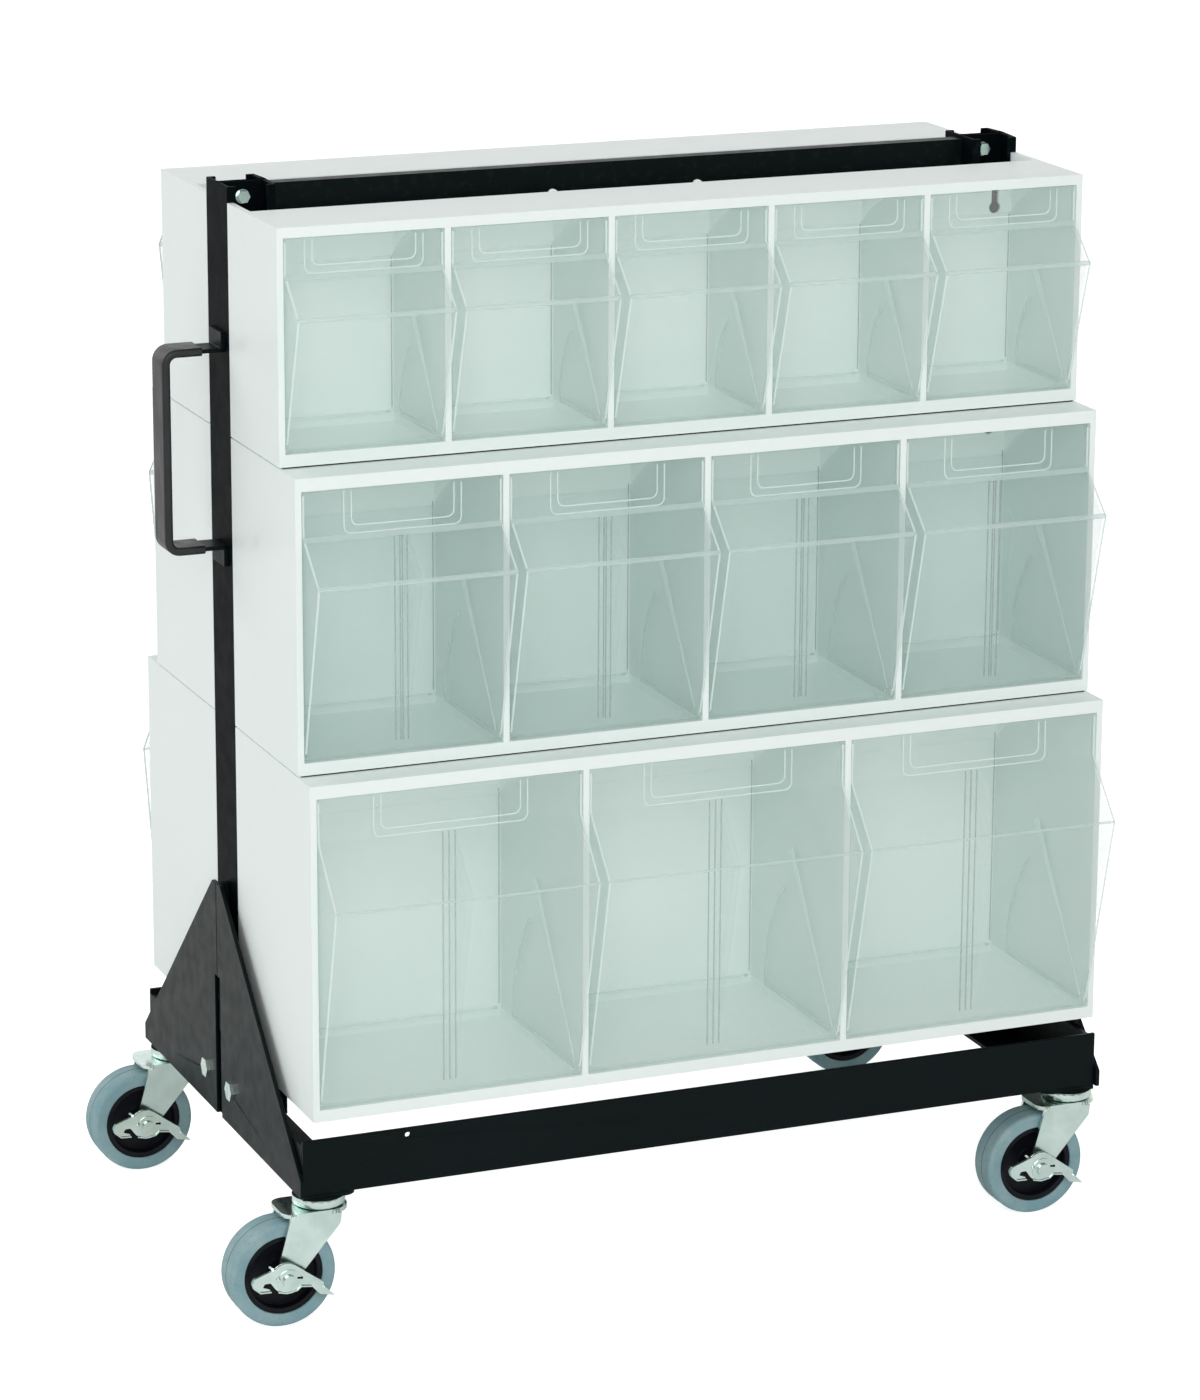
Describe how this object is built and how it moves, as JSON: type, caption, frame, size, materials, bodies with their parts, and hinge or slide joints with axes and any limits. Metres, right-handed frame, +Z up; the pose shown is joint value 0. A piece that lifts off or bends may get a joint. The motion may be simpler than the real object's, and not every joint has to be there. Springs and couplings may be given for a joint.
{
  "type": "mobile tilt-out bin cart",
  "caption": "Two-sided mobile cart: stacked white cabinets of clear tip-out bins on a black upright frame with a side handle and braked swivel casters.",
  "frame": {"origin": "on the floor, at the middle of the overall length and depth; the middle between the two uprights is 23.6 mm to its right, because the casters trail to the left", "axes": "+X along the cabinets, to the right of someone facing the front; +Y from the front bins to the rear bins; +Z up"},
  "size_m": [0.67, 0.4324, 0.7709],
  "materials": {
    "white_plastic": "satin moulded white",
    "clear_plastic": "clear polished, faint green-grey tint",
    "black_paint": "satin black powder coat",
    "black_grip": "soft black sleeve",
    "zinc": "bright zinc plate",
    "black_hub": "moulded black",
    "grey_rubber": "blue-grey non-marking rubber"
  },
  "bodies": {
    "cart": {"upright_left": "black_paint", "gusset_left": "black_paint", "base_side_left": "black_paint", "upright_right": "black_paint", "gusset_right": "black_paint", "base_side_right": "black_paint", "crossbar": "black_paint", "base_rail_front": "black_paint", "base_rail_rear": "black_paint", "handle_strap": "black_paint", "handle_grip": "black_grip", "fasteners": "zinc", "caster_raceways": "zinc", "cabinet_bottom_front": "white_plastic", "cabinet_bottom_rear": "white_plastic", "cabinet_middle_front": "white_plastic", "cabinet_middle_rear": "white_plastic", "cabinet_top_front": "white_plastic", "cabinet_top_rear": "white_plastic"},
    "fork_front_left": {"fork_front_left": "zinc"},
    "wheel_front_left": {"hub_front_left": "black_hub", "tyre_front_left": "grey_rubber"},
    "brake_front_left": {"brake_lever_front_left": "zinc"},
    "fork_front_right": {"fork_front_right": "zinc"},
    "wheel_front_right": {"hub_front_right": "black_hub", "tyre_front_right": "grey_rubber"},
    "brake_front_right": {"brake_lever_front_right": "zinc"},
    "fork_rear_left": {"fork_rear_left": "zinc"},
    "wheel_rear_left": {"hub_rear_left": "black_hub", "tyre_rear_left": "grey_rubber"},
    "brake_rear_left": {"brake_lever_rear_left": "zinc"},
    "fork_rear_right": {"fork_rear_right": "zinc"},
    "wheel_rear_right": {"hub_rear_right": "black_hub", "tyre_rear_right": "grey_rubber"},
    "brake_rear_right": {"brake_lever_rear_right": "zinc"},
    "bin_bottom_front_1": {"bin_bottom_front_1": "clear_plastic"},
    "bin_bottom_front_2": {"bin_bottom_front_2": "clear_plastic"},
    "bin_bottom_front_3": {"bin_bottom_front_3": "clear_plastic"},
    "bin_bottom_rear_1": {"bin_bottom_rear_1": "clear_plastic"},
    "bin_bottom_rear_2": {"bin_bottom_rear_2": "clear_plastic"},
    "bin_bottom_rear_3": {"bin_bottom_rear_3": "clear_plastic"},
    "bin_middle_front_1": {"bin_middle_front_1": "clear_plastic"},
    "bin_middle_front_2": {"bin_middle_front_2": "clear_plastic"},
    "bin_middle_front_3": {"bin_middle_front_3": "clear_plastic"},
    "bin_middle_front_4": {"bin_middle_front_4": "clear_plastic"},
    "bin_middle_rear_1": {"bin_middle_rear_1": "clear_plastic"},
    "bin_middle_rear_2": {"bin_middle_rear_2": "clear_plastic"},
    "bin_middle_rear_3": {"bin_middle_rear_3": "clear_plastic"},
    "bin_middle_rear_4": {"bin_middle_rear_4": "clear_plastic"},
    "bin_top_front_1": {"bin_top_front_1": "clear_plastic"},
    "bin_top_front_2": {"bin_top_front_2": "clear_plastic"},
    "bin_top_front_3": {"bin_top_front_3": "clear_plastic"},
    "bin_top_front_4": {"bin_top_front_4": "clear_plastic"},
    "bin_top_front_5": {"bin_top_front_5": "clear_plastic"},
    "bin_top_rear_1": {"bin_top_rear_1": "clear_plastic"},
    "bin_top_rear_2": {"bin_top_rear_2": "clear_plastic"},
    "bin_top_rear_3": {"bin_top_rear_3": "clear_plastic"},
    "bin_top_rear_4": {"bin_top_rear_4": "clear_plastic"},
    "bin_top_rear_5": {"bin_top_rear_5": "clear_plastic"}
  },
  "joints": [
    {"name": "swivel_front_left", "type": "hinge", "parent": "cart", "child": "fork_front_left", "pos_m": [-0.26695, -0.1625, 0.0837], "axis": [0, 0, 1], "continuous": true},
    {"name": "roll_front_left", "type": "hinge", "parent": "fork_front_left", "child": "wheel_front_left", "pos_m": [-0.29695, -0.1625, 0.0381], "axis": [0, 1, 0], "continuous": true},
    {"name": "brake_front_left", "type": "hinge", "parent": "fork_front_left", "child": "brake_front_left", "pos_m": [-0.29695, -0.1848, 0.0381], "axis": [0, 1, 0], "range_deg": [0, 25]},
    {"name": "swivel_front_right", "type": "hinge", "parent": "cart", "child": "fork_front_right", "pos_m": [0.31405, -0.1625, 0.0837], "axis": [0, 0, 1], "continuous": true},
    {"name": "roll_front_right", "type": "hinge", "parent": "fork_front_right", "child": "wheel_front_right", "pos_m": [0.28405, -0.1625, 0.0381], "axis": [0, 1, 0], "continuous": true},
    {"name": "brake_front_right", "type": "hinge", "parent": "fork_front_right", "child": "brake_front_right", "pos_m": [0.28405, -0.1848, 0.0381], "axis": [0, 1, 0], "range_deg": [0, 25]},
    {"name": "swivel_rear_left", "type": "hinge", "parent": "cart", "child": "fork_rear_left", "pos_m": [-0.26695, 0.1625, 0.0837], "axis": [0, 0, 1], "continuous": true},
    {"name": "roll_rear_left", "type": "hinge", "parent": "fork_rear_left", "child": "wheel_rear_left", "pos_m": [-0.29695, 0.1625, 0.0381], "axis": [0, 1, 0], "continuous": true},
    {"name": "brake_rear_left", "type": "hinge", "parent": "fork_rear_left", "child": "brake_rear_left", "pos_m": [-0.29695, 0.1402, 0.0381], "axis": [0, 1, 0], "range_deg": [0, 25]},
    {"name": "swivel_rear_right", "type": "hinge", "parent": "cart", "child": "fork_rear_right", "pos_m": [0.31405, 0.1625, 0.0837], "axis": [0, 0, 1], "continuous": true},
    {"name": "roll_rear_right", "type": "hinge", "parent": "fork_rear_right", "child": "wheel_rear_right", "pos_m": [0.28405, 0.1625, 0.0381], "axis": [0, 1, 0], "continuous": true},
    {"name": "brake_rear_right", "type": "hinge", "parent": "fork_rear_right", "child": "brake_rear_right", "pos_m": [0.28405, 0.1402, 0.0381], "axis": [0, 1, 0], "range_deg": [0, 25]},
    {"name": "tilt_bottom_front_1", "type": "hinge", "parent": "cart", "child": "bin_bottom_front_1", "pos_m": [-0.17495, -0.1772, 0.1624], "axis": [1, 0, 0], "range_deg": [0, 45]},
    {"name": "tilt_bottom_front_2", "type": "hinge", "parent": "cart", "child": "bin_bottom_front_2", "pos_m": [0.02355, -0.1772, 0.1624], "axis": [1, 0, 0], "range_deg": [0, 45]},
    {"name": "tilt_bottom_front_3", "type": "hinge", "parent": "cart", "child": "bin_bottom_front_3", "pos_m": [0.22205, -0.1772, 0.1624], "axis": [1, 0, 0], "range_deg": [0, 45]},
    {"name": "tilt_bottom_rear_1", "type": "hinge", "parent": "cart", "child": "bin_bottom_rear_1", "pos_m": [0.22205, 0.1772, 0.1624], "axis": [-1, 0, 0], "range_deg": [0, 45]},
    {"name": "tilt_bottom_rear_2", "type": "hinge", "parent": "cart", "child": "bin_bottom_rear_2", "pos_m": [0.02355, 0.1772, 0.1624], "axis": [-1, 0, 0], "range_deg": [0, 45]},
    {"name": "tilt_bottom_rear_3", "type": "hinge", "parent": "cart", "child": "bin_bottom_rear_3", "pos_m": [-0.17495, 0.1772, 0.1624], "axis": [-1, 0, 0], "range_deg": [0, 45]},
    {"name": "tilt_middle_front_1", "type": "hinge", "parent": "cart", "child": "bin_middle_front_1", "pos_m": [-0.19976, -0.1532, 0.4034], "axis": [1, 0, 0], "range_deg": [0, 45]},
    {"name": "tilt_middle_front_2", "type": "hinge", "parent": "cart", "child": "bin_middle_front_2", "pos_m": [-0.05089, -0.1532, 0.4034], "axis": [1, 0, 0], "range_deg": [0, 45]},
    {"name": "tilt_middle_front_3", "type": "hinge", "parent": "cart", "child": "bin_middle_front_3", "pos_m": [0.09799, -0.1532, 0.4034], "axis": [1, 0, 0], "range_deg": [0, 45]},
    {"name": "tilt_middle_front_4", "type": "hinge", "parent": "cart", "child": "bin_middle_front_4", "pos_m": [0.24686, -0.1532, 0.4034], "axis": [1, 0, 0], "range_deg": [0, 45]},
    {"name": "tilt_middle_rear_1", "type": "hinge", "parent": "cart", "child": "bin_middle_rear_1", "pos_m": [0.24686, 0.1532, 0.4034], "axis": [-1, 0, 0], "range_deg": [0, 45]},
    {"name": "tilt_middle_rear_2", "type": "hinge", "parent": "cart", "child": "bin_middle_rear_2", "pos_m": [0.09799, 0.1532, 0.4034], "axis": [-1, 0, 0], "range_deg": [0, 45]},
    {"name": "tilt_middle_rear_3", "type": "hinge", "parent": "cart", "child": "bin_middle_rear_3", "pos_m": [-0.05089, 0.1532, 0.4034], "axis": [-1, 0, 0], "range_deg": [0, 45]},
    {"name": "tilt_middle_rear_4", "type": "hinge", "parent": "cart", "child": "bin_middle_rear_4", "pos_m": [-0.19976, 0.1532, 0.4034], "axis": [-1, 0, 0], "range_deg": [0, 45]},
    {"name": "tilt_top_front_1", "type": "hinge", "parent": "cart", "child": "bin_top_front_1", "pos_m": [-0.21465, -0.1217, 0.6104], "axis": [1, 0, 0], "range_deg": [0, 45]},
    {"name": "tilt_top_front_2", "type": "hinge", "parent": "cart", "child": "bin_top_front_2", "pos_m": [-0.09555, -0.1217, 0.6104], "axis": [1, 0, 0], "range_deg": [0, 45]},
    {"name": "tilt_top_front_3", "type": "hinge", "parent": "cart", "child": "bin_top_front_3", "pos_m": [0.02355, -0.1217, 0.6104], "axis": [1, 0, 0], "range_deg": [0, 45]},
    {"name": "tilt_top_front_4", "type": "hinge", "parent": "cart", "child": "bin_top_front_4", "pos_m": [0.14265, -0.1217, 0.6104], "axis": [1, 0, 0], "range_deg": [0, 45]},
    {"name": "tilt_top_front_5", "type": "hinge", "parent": "cart", "child": "bin_top_front_5", "pos_m": [0.26175, -0.1217, 0.6104], "axis": [1, 0, 0], "range_deg": [0, 45]},
    {"name": "tilt_top_rear_1", "type": "hinge", "parent": "cart", "child": "bin_top_rear_1", "pos_m": [0.26175, 0.1217, 0.6104], "axis": [-1, 0, 0], "range_deg": [0, 45]},
    {"name": "tilt_top_rear_2", "type": "hinge", "parent": "cart", "child": "bin_top_rear_2", "pos_m": [0.14265, 0.1217, 0.6104], "axis": [-1, 0, 0], "range_deg": [0, 45]},
    {"name": "tilt_top_rear_3", "type": "hinge", "parent": "cart", "child": "bin_top_rear_3", "pos_m": [0.02355, 0.1217, 0.6104], "axis": [-1, 0, 0], "range_deg": [0, 45]},
    {"name": "tilt_top_rear_4", "type": "hinge", "parent": "cart", "child": "bin_top_rear_4", "pos_m": [-0.09555, 0.1217, 0.6104], "axis": [-1, 0, 0], "range_deg": [0, 45]},
    {"name": "tilt_top_rear_5", "type": "hinge", "parent": "cart", "child": "bin_top_rear_5", "pos_m": [-0.21465, 0.1217, 0.6104], "axis": [-1, 0, 0], "range_deg": [0, 45]}
  ]
}
